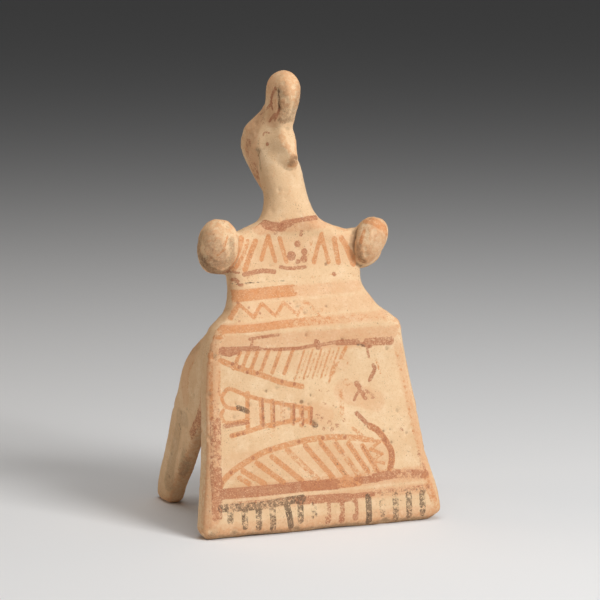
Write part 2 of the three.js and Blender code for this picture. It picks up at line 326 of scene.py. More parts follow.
def girdle():
    """Lines below the chest, the orange bands and the zigzag between them."""
    stroke("red", [(-32.6, 107.0), (-26.3, 106.2)], 0.9, 0.85)
    stroke("red", curve([(-24.4, 105.5), (-16.5, 106.6), (-10.7, 106.0)]), 2.0, 0.9)
    stroke("red", curve([(-7.8, 107.8), (-3.8, 107.0), (3.6, 107.2)]), 1.5, 0.85)
    stroke("red", [(-28.2, 103.2), (-26.4, 101.6)], 2.2, 0.85)
    stroke("red", [(-32.0, 101.8), (-8.0, 103.6)], 1.4, 0.35)
    blot("red", (-23.1, 104.5), 1.8, 0.6)
    blot("red", (16.4, 103.7), 2.0, 0.8)
    stroke("dark", curve([(-29.3, 101.6), (-19.9, 102.1), (-6.7, 102.2)]), 0.6, 0.6)
    stroke("orange", [(-4.0, 102.6), (24.0, 103.8)], 0.7, 0.55)
    stroke("orange", curve([(-30.8, 96.9), (-21.0, 97.4), (-12.0, 97.9), (-3.5, 98.2)]), 4.6, 0.9, 0.8)
    stroke("orange", curve([(-3.5, 98.2), (8.0, 98.4), (24.0, 98.3)]), 3.8, 0.5, 0.4)
    stroke("dark", [(-28.6, 95.4), (-23.0, 96.0)], 1.6, 0.4)
    stroke("orange", curve([(-38.6, 84.7), (-26.0, 84.5), (-12.0, 85.3)]), 3.2, 0.9, 0.8)
    stroke("orange", curve([(-12.0, 85.3), (6.0, 86.1), (33.0, 86.6)]), 3.4, 0.72, 0.5)
    stroke("orange", [(-24.0, 88.2), (28.0, 89.8)], 0.6, 0.5)
    zigzag()


def zigzag():
    low, high, pitch = 88.6, 93.8, 9.9
    left = -33.6
    for turn in range(11):
        start = (left + turn * pitch / 2, low if turn % 2 == 0 else high)
        end = (left + (turn + 1) * pitch / 2, high if turn % 2 == 0 else low)
        stroke("orange", [start, end], 1.5, 0.9 - 0.045 * turn)
    for x, z in ((-25.0, 92.6), (-20.4, 90.1), (-30.4, 87.6), (-6.0, 93.3), (-29.0, 94.4), (-15.4, 90.4)):
        blot("red", (x, z), 1.2, 0.7)


def knee_line():
    stroke("red", curve([(-27.0, 80.2), (-21.3, 80.7), (-14.0, 81.2)]), 1.3, 0.75)
    stroke("orange", [(-42.4, 81.6), (-38.4, 81.8)], 1.8, 0.7)
    stroke("orange", [(-14.0, 79.8), (4.0, 80.4)], 2.8, 0.4)
    stroke("red", [(-20.0, 78.4), (12.0, 79.0)], 1.8, 0.28)
    stroke("red", [(16.0, 79.6), (39.0, 78.8)], 3.4, 0.4)


def panel_border():
    """The worn border round the front of the skirt."""
    stroke("red", [(-39.0, 75.9), (-36.0, 75.2)], 3.8, 0.95)
    stroke("red", [(-37.0, 76.6), (-28.0, 76.4)], 1.8, 0.85)
    stroke("red", [(-37.0, 74.4), (-31.8, 74.7)], 1.3, 0.85)
    stroke("red", [(-28.6, 76.2), (-23.0, 76.0)], 2.2, 0.9)
    stroke("red", [(-26.2, 77.0), (-25.8, 78.8)], 1.3, 0.75)
    stroke("red", [(-23.7, 75.9), (-16.2, 75.3)], 1.1, 0.8)
    stroke("red", [(-16.2, 75.2), (-5.2, 75.0), (3.6, 76.0)], 1.5, 0.85)
    stroke("red", [(3.2, 78.0), (3.8, 74.8)], 2.4, 0.8)
    stroke("red", [(5.2, 75.9), (12.4, 76.6)], 1.5, 0.8)
    stroke("red", [(12.6, 76.3), (21.8, 75.9)], 2.4, 0.9, 0.8)
    stroke("dark", [(21.6, 74.9), (25.0, 74.3)], 1.0, 0.7)
    stroke("red", [(24.0, 74.9), (27.6, 74.0)], 2.0, 0.85)
    stroke("red", [(26.0, 73.0), (26.8, 69.4)], 1.2, 0.7)
    stroke("red", [(26.5, 76.0), (37.0, 75.6)], 3.6, 0.75)
    stroke("dark", [(36.8, 75.6), (38.8, 74.0)], 1.8, 0.4)
    stroke("red", curve([(-41.8, 73.0), (-43.0, 62.0), (-44.4, 48.0)]), 3.6, 0.42, 0.55)
    stroke("orange", curve([(-43.6, 76.0), (-44.6, 62.0), (-46.0, 48.0)]), 1.4, 0.7)
    stroke("orange", [(-40.8, 67.4), (-41.5, 58.0)], 1.0, 0.7)
    stroke("red", curve([(-44.4, 48.0), (-45.2, 40.0), (-46.6, 29.0)]), 4.4, 0.72, 0.6)
    stroke("red", curve([(-46.6, 29.0), (-47.2, 20.0), (-48.0, 10.0)]), 4.6, 0.75, 0.7)
    stroke("orange", curve([(-44.0, 46.0), (-46.0, 34.0), (-48.0, 18.0), (-49.4, 8.0)]), 5.4, 0.42)
    stroke("dark", [(-50.8, 19.0), (-51.5, 9.0)], 1.0, 0.45)
    stroke("orange", curve([(39.5, 72.0), (42.4, 56.6), (43.3, 43.0), (45.2, 30.8)]), 1.3, 0.6)
    stroke("red", [(45.6, 28.6), (46.6, 21.5)], 2.4, 0.55)
    stroke("orange", curve([(47.0, 19.6), (49.0, 12.0), (50.8, 6.8)]), 3.4, 0.65)
    stroke("red", [(48.6, 16.0), (50.2, 10.0)], 2.0, 0.45)


def upper_wing():
    """A slanting outline with feathers that run up to the panel's border."""
    outline = curve([(-40.0, 72.1), (-32.0, 68.3), (-22.4, 65.0), (-14.0, 61.5), (-4.8, 59.1)])
    stroke("orange", outline, 2.4, 0.92, 0.8)
    for x, z in ((-35.1, 70.4), (-32.1, 68.9), (-28.6, 66.6), (-24.2, 65.9), (-13.4, 61.7), (-8.0, 60.2)):
        blot("red", (x, z), 1.7, 0.8)
    for index, top in enumerate((-31.4, -27.6, -23.4, -18.6, -13.2, -7.6)):
        fall = 6.6 + 0.7 * index
        stroke("orange", [(top, 75.0), (top - 0.46 * fall, 75.0 - fall)], 1.7, 0.95)
        stroke("red", [(top - 0.9, 73.0), (top - 0.34 * fall, 75.0 - 0.75 * fall)], 0.7, 0.6)
    for top in (-2.7, 1.2, 5.2, 9.2, 13.2):
        stroke("orange", [(top, 74.0), (top - 5.0, 62.0)], 0.9, 0.75)
        stroke("orange", [(top + 1.6, 73.0), (top - 3.0, 62.6)], 0.7, 0.65)
    stroke("orange", [(12.2, 68.2), (7.5, 59.7)], 0.9, 0.7)
    stroke("orange", [(16.5, 74.2), (14.1, 70.1)], 1.6, 0.85)
    stroke("red", curve([(28.6, 65.8), (29.2, 64.1), (26.6, 59.7)]), 1.7, 0.85)
    stroke("orange", [(30.1, 67.9), (31.7, 62.3)], 0.9, 0.7)
    stroke("orange", [(17.0, 68.3), (16.6, 65.4)], 0.8, 0.6)
    stroke("orange", [(13.1, 68.9), (26.9, 68.1)], 0.8, 0.5)


def middle_figure():
    """A lying outline with two loops at its end and bars across."""
    top = curve([(-39.4, 58.7), (-37.9, 60.0), (-35.7, 59.9), (-26.0, 55.8), (-9.0, 51.4), (-1.4, 49.7)])
    stroke("orange", top, 1.7, 0.9, 0.8)
    stroke("orange", curve([(-39.4, 58.7), (-40.6, 56.4), (-38.7, 53.0), (-33.0, 51.8)]), 1.6, 0.9)
    stroke("dark", [(-33.8, 52.5), (-30.0, 50.8)], 2.2, 0.8)
    stroke("orange", curve([(-40.6, 51.9), (-41.7, 49.6), (-39.5, 46.7), (-30.5, 47.1)]), 1.6, 0.85)
    stroke("red", [(-41.0, 45.4), (-30.5, 46.4)], 1.8, 0.75)
    stroke("orange", [(-29.0, 58.0), (-30.8, 43.7)], 2.0, 0.95)
    bars = ((-23.3, 55.0, 44.6, 0.75), (-18.5, 54.0, 44.0, 0.7), (-14.0, 53.0, 45.6, 0.6),
            (-9.6, 51.6, 44.6, 0.75), (-5.8, 50.8, 43.6, 0.7), (-1.9, 50.0, 44.4, 0.75))
    for x, high, low, kept in bars:
        stroke("orange", [(x, high), (x - 0.9, low)], 2.2, kept)
        stroke("red", [(x + 0.5, high), (x - 0.5, low)], 1.2, kept)
        stroke("dark", [(x + 0.7, high - 1.4), (x - 0.2, low)], 0.8, 0.75 * kept)
    bottom = curve([(-38.4, 41.5), (-30.2, 42.9), (-21.1, 44.6), (-8.0, 45.7), (-3.9, 44.8)])
    stroke("orange", bottom, 1.9, 0.85)
    for x in (-38.0, -35.4, -32.8):
        blot("red", (x, 41.6 + 0.1 * (x + 38.0)), 1.8, 0.7)
    for x, z in ((0.8, 46.6), (3.0, 45.2), (-1.0, 42.6), (5.9, 43.4), (6.9, 40.7), (3.4, 41.6), (9.0, 42.2)):
        blot("red", (x, z), 2.4, 0.6)
    blot("dark", (-0.6, 43.2), 2.6, 0.7)
    blot("dark", (5.4, 41.2), 1.8, 0.5)
    blot("orange", (-20.8, 41.6), 3.6, 0.5)
    stroke("red", curve([(20.4, 58.8), (22.0, 56.2), (23.6, 52.8)]), 2.4, 0.85)
    stroke("red", [(22.4, 56.0), (27.0, 53.0)], 2.4, 0.6)
    stroke("red", curve([(18.4, 51.8), (20.3, 54.7), (21.7, 55.4)]), 1.2, 0.8)
    stroke("orange", [(12.8, 56.0), (12.2, 46.1)], 2.2, 0.6)
    for turn in range(8):
        angle = math.radians(45 * turn)
        step = math.radians(45)
        ring = [(16.2 + 1.6 * math.cos(angle + a), 59.5 + 1.3 * math.sin(angle + a)) for a in (0, step)]
        stroke("orange", ring, 0.8, 0.6)
    for x, z in ((3.6, 57.1), (7.1, 56.0), (4.8, 51.7), (9.0, 50.0), (12.6, 44.3), (38.4, 38.6)):
        blot("red", (x, z), 1.8, 0.6)


def lower_wing():
    """A long arch with slanting feathers, closed by a curved cap at its right end."""
    arch = curve([(-45.6, 21.7), (-44.1, 24.0), (-38.8, 28.0), (-28.0, 33.0), (-20.1, 35.2),
                  (-6.3, 37.4), (4.0, 37.9), (14.0, 37.2), (24.0, 35.4)])
    stroke("orange", arch, 2.4, 0.95, 0.7)
    for place in arch[4:36:5]:
        blot("red", tuple(place), 1.7, 0.8)
    stroke("orange", [(-36.9, 24.6), (-32.8, 21.9)], 2.2, 0.75)
    feet = (-26.0, -17.6, -9.4, -2.2, 4.8, 11.0, 16.6, 21.6, 26.0)
    tops = ((-35.0, 27.2), (-28.5, 29.9), (-21.6, 32.0), (-14.4, 34.0), (-6.2, 35.2), (1.0, 35.8),
            (7.2, 35.6), (13.4, 34.6), (19.6, 33.2))
    for index, (foot, top) in enumerate(zip(feet, tops)):
        faded = index in (3, 6)
        stroke("orange", [top, (foot, 21.4)], 2.4, 0.7 if faded else 0.95)
        stroke("red", [top, (foot, 21.4)], 0.9, 0.35 + 0.04 * index)
    stroke("dark", [(5.4, 29.0), (10.8, 22.0)], 1.0, 0.55)
    stroke("dark", [(18.6, 27.6), (22.6, 23.0)], 1.2, 0.5)
    stroke("red", [(18.7, 46.7), (24.3, 40.6)], 2.0, 0.8)
    cap = curve([(24.3, 41.0), (27.6, 38.8), (31.8, 32.4), (32.6, 28.0), (31.0, 22.7)])
    stroke("red", cap, 2.6, 0.75)
    stroke("orange", cap, 3.0, 0.8)
    stroke("orange", [(16.1, 40.8), (19.8, 37.7)], 1.4, 0.7)
    turns = [(23.0, 35.1), (28.0, 34.6), (23.0, 31.8), (28.4, 29.6), (23.6, 27.6), (28.6, 25.6)]
    stroke("orange", turns, 1.4, 0.75)


def hem_bands():
    """The red band, the dark band below it and the fringe of short upright strokes."""
    stroke("red", [(-44.6, 18.8), (-28.0, 18.7), (-8.0, 19.1), (6.0, 18.8)], 4.4, 0.95, 0.88)
    stroke("orange", [(-8.0, 19.0), (16.0, 19.2)], 4.2, 0.85)
    stroke("red", [(6.0, 18.6), (16.0, 18.9)], 3.2, 0.6)
    stroke("red", [(15.0, 19.5), (25.0, 19.6)], 3.0, 0.8)
    stroke("red", [(24.0, 20.2), (35.0, 21.0)], 3.6, 0.85, 0.7)
    stroke("red", [(34.0, 20.8), (47.0, 19.8)], 3.6, 0.6, 0.75)
    stroke("orange", [(20.0, 21.0), (46.0, 21.4)], 3.8, 0.5)
    stroke("red", curve([(-46.0, 14.6), (-26.0, 14.6), (-9.6, 15.0)]), 1.4, 0.6)
    stroke("dark", curve([(-46.0, 13.1), (-30.0, 12.9), (-20.0, 13.6), (-9.6, 14.3)]), 3.2, 0.68, 0.72)
    stroke("red", [(-11.6, 13.6), (11.0, 13.0)], 3.6, 0.85)
    stroke("red", [(11.0, 13.2), (22.4, 13.6)], 2.2, 0.85)
    stroke("red", [(22.0, 14.0), (48.0, 14.6)], 1.8, 0.6)
    stroke("dark", [(20.4, 13.3), (48.0, 13.6)], 1.6, 0.5)
    fringe()


def fringe():
    """Fifteen strokes, each with its own length and wear."""
    first, pitch = -42.0, 6.2
    strokes = (
        (11.6, 7.6, 0.65, "dark"), (11.4, 4.8, 0.68, "dark"), (11.8, 3.8, 0.68, "dark"),
        (12.0, 3.2, 0.68, "dark"), (13.6, 3.2, 0.92, "dark"), (12.2, 5.4, 0.72, "dark"),
        (11.2, 6.8, 0.6, "dark"), (11.6, 4.0, 0.7, "red"), (10.8, 3.6, 0.75, "red"),
        (10.6, 4.4, 0.8, "red"), (12.6, 2.2, 0.85, "dark"), (10.6, 4.6, 0.55, "dark"),
        (12.6, 2.0, 0.66, "dark"), (12.6, 3.0, 0.7, "dark"), (12.4, 3.4, 0.68, "dark"),
    )
    for index, (top, foot, kept, pigment) in enumerate(strokes):
        x = first + index * pitch
        lean = 1.6 if index == 4 else -0.3
        stroke(pigment, [(x, top), (x + lean, foot)], 2.7, kept)
        stroke("red", [(x - 0.9, top), (x - 0.7, foot)], 1.6, 0.42)


def sleeve_paint():
    """Paint left on the two arm stubs."""
    stroke("orange", curve([(-33.3, -17.5, 122.8), (-34.8, -18.0, 119.5), (-35.8, -18.1, 116.7)]), 0.9, 0.75)
    stroke("orange", curve([(-34.9, -18.1, 117.1), (-36.6, -18.0, 116.0), (-38.2, -17.5, 114.7)]), 0.9, 0.75)
    stroke("red", [(-41.4, -15.4, 117.4), (-37.4, -17.6, 113.4)], 4.2, 0.5)
    stroke("red", [(-33.6, -13.4, 106.6), (-30.0, -13.6, 108.6)], 1.8, 0.8)
    stroke("orange", [(32.6, -11.2, 125.9), (35.2, -15.1, 124.9), (38.4, -16.2, 121.4)], 4.4, 0.75)
    stroke("orange", [(29.4, -14.6, 122.6), (27.6, -15.5, 117.0)], 1.9, 0.8)
    stroke("orange", [(36.0, -16.6, 120.0), (33.6, -17.2, 112.0)], 5.0, 0.35)
    stroke("red", [(31.2, -17.5, 118.1), (31.4, -17.2, 111.2)], 1.2, 0.5)
    stroke("red", [(29.6, -13.4, 107.6), (27.4, -14.4, 110.0)], 1.6, 0.55)


def head_paint():
    """An arc over the eye, the eye, and red left in the hair and the roll."""
    head_stroke("red", [(-9.6, 2.6, 162.4), (-8.9, 2.3, 163.8), (-7.6, 0.2, 163.4)], 0.8)
    head_stroke("red", [(-6.7, -3.3, 182.8), (-7.4, -0.8, 177.6), (-7.2, -1.6, 173.6)], 1.4, 0.85)
    head_stroke("red", [(-5.5, -5.1, 174.4), (-5.8, -3.5, 171.4), (-6.6, -2.0, 168.8)], 1.3)
    head_stroke("dark", [(-6.0, -5.2, 182.0), (-5.6, -5.1, 174.4)], 0.9, 0.75)
    head_stroke("red", [(-7.2, -1.5, 176.3), (-8.4, 3.0, 173.4), (-9.6, 6.6, 171.2)], 1.4, 0.75)
    head_stroke("red", [(-6.3, -2.6, 171.7), (-7.2, 1.0, 168.5)], 1.4)
    head_stroke("orange", [(-8.8, 6.2, 171.6), (-11.5, 6.6, 164.5), (-13.4, 9.0, 158.0)], 6.0, 0.42)
    head_stroke("red", [(-13.2, 9.4, 158.6), (-12.6, 10.2, 153.4), (-9.4, 10.6, 143.4)], 4.4, 0.6)
    eye = ((-8.2, 0.8, 158.8), 1.9, 0.85)
    speck = ((-9.8, 3.4, 158.4), 0.9, 0.7)
    hair_patch = ((-8.8, 3.9, 168.2), 3.0, 0.55)
    for place, width, kept in (eye, speck, hair_patch):
        for line in both_sides([place]):
            blot("red", line[0], width, kept)


def fin_paint():
    """Faint arcs on the side of each fin."""
    for side in (-1, 1):
        arc = curve([(side * 45.6, 0.5, 57.0), (side * 45.4, -2.2, 64.5), (side * 45.2, -6.8, 68.8)])
        stroke("orange", arc, 2.0, 0.6)
        stroke("red", [(side * 45.4, 7.9, 57.4), (side * 45.4, 8.8, 54.0)], 2.6, 0.5)
        stroke("orange", [(side * 45.2, -11.8, 65.6), (side * 45.6, -25.0, 65.3)], 0.9, 0.4)


def washes():
    """Thin peach-coloured washes under and round the drawing."""
    stroke("wash", [(-31.0, 97.0), (26.0, 98.4)], 5.0, 0.55, 0.45)
    stroke("wash", [(-37.0, 84.8), (35.0, 86.4)], 3.8, 0.6, 0.5)
    stroke("wash", [(-33.0, 91.0), (30.0, 92.0)], 6.0, 0.22, 0.3)
    stroke("wash", [(-42.0, 79.6), (38.0, 79.2)], 5.5, 0.5, 0.6)
    stroke("wash", [(-38.0, 75.4), (38.0, 75.2)], 2.6, 0.6, 0.5)
    stroke("wash", curve([(-43.0, 78.0), (-46.2, 48.0), (-48.6, 24.0), (-50.4, 8.0)]), 7.0, 0.55, 0.7)
    stroke("wash", curve([(40.4, 74.0), (44.6, 44.0), (47.6, 26.0), (50.0, 10.0)]), 4.0, 0.35, 0.7)
    stroke("wash", [(-42.0, 13.4), (46.0, 14.0)], 4.4, 0.4, 0.7)
    stroke("wash", [(-40.0, 18.8), (46.0, 20.4)], 6.0, 0.55, 0.7)
    stroke("wash", [(-48.0, 4.0), (48.0, 4.0)], 6.0, 0.4, 0.45)
    stroke("wash", [(-16.0, 124.0), (14.0, 125.8)], 5.0, 0.6, 0.5)
    stroke("wash", [(-30.0, 113.0), (24.0, 114.0)], 13.0, 0.16, 0.22)
    stroke("wash", [(14.0, 56.0), (28.0, 51.0)], 9.0, 0.4, 0.3)
    stroke("wash", [(-38.0, 29.0), (26.0, 29.0)], 12.0, 0.2, 0.3)
    stroke("wash", [(-36.0, 51.0), (4.0, 47.0)], 9.0, 0.2, 0.3)
    stroke("wash", [(-24.0, 70.0), (14.0, 68.0)], 8.0, 0.2, 0.2)
    stroke("wash", [(36.2, -16.6, 122.0), (33.6, -17.2, 112.0)], 9.0, 0.4, 0.3)
    stroke("wash", [(-40.0, -16.0, 122.0), (-36.0, -17.6, 112.0)], 9.0, 0.3, 0.5)
    for side in (-1, 1):
        fin_top = curve([(side * 45.6, 3.0, 52.0), (side * 45.4, 4.0, 62.0), (side * 44.0, -6.0, 74.0)])
        stroke("wash", fin_top, 9.0, 0.35)
    head_stroke("wash", [(-10.0, 8.0, 172.0), (-12.4, 9.0, 158.0), (-9.6, 9.0, 143.0)], 9.0, 0.45)
    head_stroke("wash", [(-6.0, 0.0, 184.0), (-6.4, -2.0, 176.0), (-6.0, 0.0, 169.0)], 7.0, 0.45)


def soil_and_painted_shade():
    """Brown soil on the beak's worn end; painted shade under the arms (with some soil), under the roll,
    beside the right arm and on the fins; darker groove, crack and hem.
    """
    # Painted shade with some real soil: brown on the undersides and outer side of both arm stubs.
    under_arm = [(-43.0, -11.6, 112.5), (-40.8, -13.7, 109.3), (-38.2, -13.8, 107.4), (-35.0, -12.4, 106.3),
                 (-31.0, -13.8, 108.0)]
    stroke("soil_and_shade", curve(under_arm), 6.0, 0.95, 0.7)
    stroke("soil_and_shade", curve([(-40.6, -15.8, 112.6), (-36.7, -17.0, 111.2), (-33.2, -17.2, 111.8)]), 5.0, 0.6)
    outer_side = [(-42.6, -10.3, 122.6), (-43.6, -9.2, 116.4), (-43.1, -11.5, 112.5)]
    stroke("soil_and_shade", curve(outer_side), 4.6, 0.6, 0.8)
    arm_front = [(-41.4, -13.6, 122.6), (-39.7, -16.9, 119.3), (-37.4, -17.9, 115.1)]
    stroke("soil_and_shade", curve(arm_front), 7.0, 0.30, 0.4)
    stroke("soil_and_shade", curve([(26.7, -15.1, 115.6), (27.5, -15.4, 111.1), (29.7, -14.7, 108.3)]), 2.6, 0.6, 0.8)
    stroke("soil_and_shade", curve([(36.0, -16.6, 118.0), (33.0, -17.0, 112.0)]), 7.0, 0.18)
    # Painted shade: brown in the crease down the chest beside the right arm and below it.
    stroke("soil_and_shade", [(-31.6, 121.0), (-30.6, 107.0)], 3.0, 0.5)
    stroke("soil_and_shade", [(-33.0, 106.0), (-32.0, 97.0)], 3.0, 0.35)
    blot("soil_and_shade", (-0.2, -9.9, 153.0), 4.4, 0.85)
    blot("soil_and_shade", (-1.6, -9.0, 151.0), 3.4, 0.6)
    # Painted shade: brown under the roll where it overhangs the forehead.
    head_stroke("soil_and_shade", [(-4.4, -4.4, 169.0), (-2.2, -5.0, 169.2), (-0.8, -5.0, 169.4)], 3.2, 0.8)
    # Darker brown down the front of the roll, along its groove and the hair crack, and faintly over the
    # hair.
    head_stroke("soil_and_shade", [(-4.6, -6.6, 183.0), (-3.8, -7.0, 176.0), (-3.0, -6.0, 170.6)], 5.0, 0.35, 0.6)
    head_stroke("soil_and_shade", [(-6.0, -5.4, 182.4), (-5.6, -5.3, 174.4)], 2.0, 0.6)
    head_stroke("soil_and_shade", [(-11.4, 4.6, 156.5), (-11.6, 3.4, 152.0), (-11.4, 1.8, 148.0)], 1.3)
    head_stroke("soil_and_shade", [(-8.6, 6.2, 171.6), (-11.5, 6.6, 164.5), (-13.4, 9.0, 158.0)], 5.0, 0.2)
    # Painted shade: brown on each fin's lower side, on its front behind the skirt and where it meets the
    # hip, as the skirt shades it.
    for side in (-1, 1):
        stroke("soil_and_shade", [(side * 45.6, 26.0, 10.0), (side * 45.6, 12.0, 37.0)], 8.0, 0.4, 0.25)
        stroke("soil_and_shade", [(side * 45.6, 12.0, 42.0), (side * 45.2, 3.0, 42.0)], 7.0, 0.25)
        stroke("soil_and_shade", [(side * 43.5, 18.0, 6.0), (side * 42.0, 5.0, 34.0)], 5.0, 0.5)
        stroke("soil_and_shade", [(side * 46.0, 8.0, 68.0), (side * 44.0, -10.0, 76.0)], 4.0, 0.25)
    # Darker brown in the hem's chips and along its lowest strip.
    for x in (-50.5, -40.9, -13.2, 27.3):
        blot("soil_and_shade", (x, 1.6), 3.4, 0.7)
    stroke("soil_and_shade", [(-50.0, 1.0), (50.0, 1.0)], 2.6, 0.6)


def lay_paint(skin):
    """Writes, for each pigment, the distance to the nearest stroke's edge and how much of it is left."""
    facing_front = (skin.normals[:, 1] < -0.2) & (skin.points[:, 1] < 0.0)
    flat = skin.points[:, [0, 2]]
    for pigment, strokes in STROKES.items():
        reach = np.full(skin.count, FAR)
        kept = np.zeros(skin.count)
        for start, end, half_width, kept_start, kept_end in strokes:
            on_front = len(start) == 2
            away, along = distance_to_segment(flat if on_front else skin.points, start, end)
            away = away - half_width
            if on_front:
                away = np.where(facing_front, away, FAR)
            nearer = away < reach
            reach = np.where(nearer, away, reach)
            kept = np.where(nearer, kept_start + (kept_end - kept_start) * along, kept)
        skin.keep(pigment + "_reach", reach)
        skin.keep(pigment + "_kept", kept)


# Materials

class Nodes:
    """Short names for the shader nodes used here."""

    def __init__(self, name):
        self.material = bpy.data.materials.new(name)
        self.material.use_nodes = True
        self.tree = self.material.node_tree
        self.shader = self.tree.nodes["Principled BSDF"]
        place = self.add("ShaderNodeTexCoord")
        scale = self.add("ShaderNodeVectorMath", operation="SCALE")
        scale.inputs["Scale"].default_value = 1.0 / MM
        self.link(place.outputs["Object"], scale.inputs[0])
        self.place = scale.outputs[0]

    def add(self, kind, **settings):
        node = self.tree.nodes.new(kind)
        for name, value in settings.items():
            setattr(node, name, value)
        return node

    def link(self, value, socket):
        if isinstance(value, bpy.types.NodeSocket):
            self.tree.links.new(value, socket)
        else:
            socket.default_value = value

    def noise(self, wavelength, detail=3.0, roughness=0.55, seed=0.0):
        """Noise of 0 to 1, about 0.5, with that wavelength in millimetres."""
        moved = self.add("ShaderNodeVectorMath", operation="ADD")
        self.link(self.place, moved.inputs[0])
        moved.inputs[1].default_value = (seed * 13.7, seed * 7.1, seed * 3.3)
        node = self.add("ShaderNodeTexNoise")
        self.link(moved.outputs[0], node.inputs["Vector"])
        node.inputs["Scale"].default_value = 1.0 / wavelength
        node.inputs["Detail"].default_value = detail
        node.inputs["Roughness"].default_value = roughness
        return node.outputs["Fac"]

    def cells(self, wavelength):
        node = self.add("ShaderNodeTexVoronoi")
        self.link(self.place, node.inputs["Vector"])
        node.inputs["Scale"].default_value = 1.0 / wavelength
        return node.outputs["Distance"]

    def attribute(self, name):
        return self.add("ShaderNodeAttribute", attribute_name=name).outputs["Fac"]

    def maths(self, operation, first, second, third=None):
        node = self.add("ShaderNodeMath", operation=operation)
        self.link(first, node.inputs[0])
        self.link(second, node.inputs[1])
        if third is not None:
            self.link(third, node.inputs[2])
        return node.outputs[0]

    def step(self, value, low, high, to_low=0.0, to_high=1.0):
        """to_low below low, to_high above high, and a soft slope between them."""
        node = self.add("ShaderNodeMapRange", interpolation_type="SMOOTHSTEP")
        self.link(value, node.inputs["Value"])
        self.link(low, node.inputs["From Min"])
        self.link(high, node.inputs["From Max"])
        self.link(to_low, node.inputs["To Min"])
        self.link(to_high, node.inputs["To Max"])
        return node.outputs["Result"]

    def spread(self, value, width):
        """Noise of 0 to 1 turned into a shift to either side, width from end to end."""
        return self.maths("MULTIPLY_ADD", value, width, -width / 2)

    def mix(self, share, first, second):
        node = self.add("ShaderNodeMix", data_type="RGBA")
        self.link(share, node.inputs["Factor"])
        self.link(first, node.inputs[6])
        self.link(second, node.inputs[7])
        return node.outputs[2]


def colour(red, green, blue):
    return (red, green, blue, 1.0)


CLAY_PALE = colour(0.76, 0.53, 0.315)
CLAY_TAN = colour(0.64, 0.385, 0.20)
CLAY_CREAM = colour(0.83, 0.62, 0.40)
CLAY_CORE = colour(0.66, 0.34, 0.165)
# Brown for real soil and grit, and for painted shade in hollows, under the arms and the roll and on the
# fins.
SOIL_AND_SHADE = colour(0.22, 0.12, 0.06)
WASH = colour(0.66, 0.32, 0.16)
ORANGE = colour(0.64, 0.275, 0.11)
ORANGE_DEEP = colour(0.50, 0.19, 0.075)
RED = colour(0.45, 0.18, 0.09)
RED_DEEP = colour(0.33, 0.105, 0.05)
DARK = colour(0.16, 0.10, 0.06)
DARK_DEEP = colour(0.06, 0.038, 0.026)


def clay_colour(n):
    """Cream slip over tan clay, rubbed through to the core along the edges, with brown specks of grit, and
    painted shade that darkens the hollows and creases towards the same brown.
    """
    base = n.mix(n.step(n.noise(24.0, 4.0, 0.6), 0.35, 0.75, 0.0, 0.55), CLAY_PALE, CLAY_TAN)
    base = n.mix(n.step(n.noise(7.0, 4.0, 0.65, 2.0), 0.45, 0.70, 0.0, 0.6), base, CLAY_CREAM)
    base = n.mix(n.step(n.noise(1.3, 8.0, 0.8, 17.0), 0.50, 0.72, 0.0, 0.7), base, CLAY_TAN)
    patchy = n.spread(n.noise(1.4, 6.0, 0.78, 15.0), 1.0)
    rubbed = n.step(n.maths("ADD", n.attribute("edge"), patchy), 0.16, 0.34)
    base = n.mix(n.maths("MULTIPLY", rubbed, 0.7), base, CLAY_CORE)
    warm_specks = n.step(n.noise(0.7, 4.0, 0.7, 16.0), 0.60, 0.66, 0.0, 0.7)
    base = n.mix(warm_specks, base, CLAY_CORE)
    # Painted shade: sunk places, hollows and the creases between parts, turn brown as if shaded; the grit
    # specks are the clay's own.
    hollow_shade = n.step(n.attribute("hollow_shade"), 0.10, 0.42, 0.0, 0.7)
    crowding = n.spread(n.noise(11.0, 3.0, 0.6, 5.0), 0.22)
    grit = n.step(n.maths("ADD", n.noise(0.65, 4.0, 0.65, 4.0), crowding), 0.63, 0.69, 0.0, 0.75)
    return n.mix(n.maths("MAXIMUM", hollow_shade, grit), base, SOIL_AND_SHADE)


def paint_cover(n, name, seed):
    """How much a colour covers, 0 to 1: its stroke's ragged edge, with the worn places taken out."""
    ragged = n.spread(n.noise(1.1, 7.0, 0.8, seed), 1.1)
    inside = n.step(n.maths("ADD", n.attribute(name + "_reach"), ragged), -0.10, 0.10, 1.0, 0.0)
    worn = n.maths("SUBTRACT", 0.88, n.maths("MULTIPLY", n.attribute(name + "_kept"), 0.56))
    patches = n.noise(1.6, 8.0, 0.8, seed + 1.0)
    left = n.step(patches, n.maths("ADD", worn, -0.06), n.maths("ADD", worn, 0.02))
    flecks = n.step(n.noise(0.55, 4.0, 0.65, seed + 2.0), 0.56, 0.63, 1.0, 0.1)
    return n.maths("MULTIPLY", n.maths("MULTIPLY", inside, left), flecks)


def stain_cover(n, name, seed):
    """How much a thin wash, or soil and painted shade, tints the clay, 0 to 1: soft edges and a blotchy
    middle.
    """
    ragged = n.spread(n.noise(2.2, 7.0, 0.75, seed), 3.4)
    inside = n.step(n.maths("ADD", n.attribute(name + "_reach"), ragged), -0.9, 0.7, 1.0, 0.0)
    blotches = n.step(n.noise(1.0, 7.0, 0.8, seed + 1.0), 0.36, 0.58, 0.35, 1.0)
    return n.maths("MULTIPLY", n.maths("MULTIPLY", inside, blotches), n.attribute(name + "_kept"))


